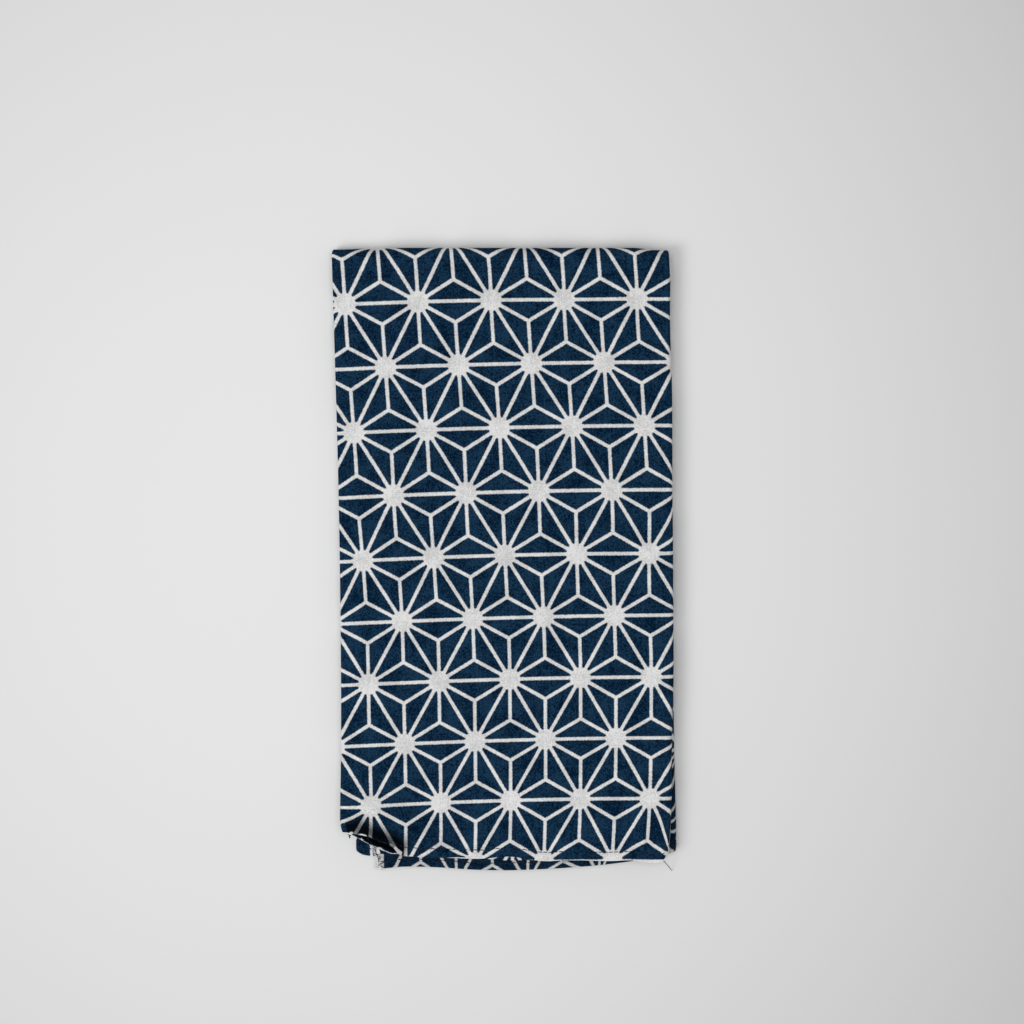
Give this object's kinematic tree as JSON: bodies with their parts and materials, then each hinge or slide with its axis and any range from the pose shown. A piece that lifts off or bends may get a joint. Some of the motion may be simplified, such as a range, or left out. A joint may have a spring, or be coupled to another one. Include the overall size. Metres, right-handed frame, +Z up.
{
  "type": "folded furoshiki",
  "caption": "Square cotton wrapping cloth with a hemp-leaf print, folded into a flat rectangular packet with one corner of its fold tucked in.",
  "frame": {"origin": "middle of the packet's outline, on its flat underside", "axes": "+X to the right across the packet, +Y towards the folded end, away from the hems, +Z up"},
  "size_m": [0.1397, 0.2537, 0.0143],
  "materials": {
    "indigo_printed_cotton": "Plain-woven cotton printed deep navy with an off-white hemp-leaf pattern, matt, with double-turned hems."
  },
  "bodies": {
    "root": {"furoshiki_cloth": "indigo_printed_cotton"}
  },
  "joints": []
}
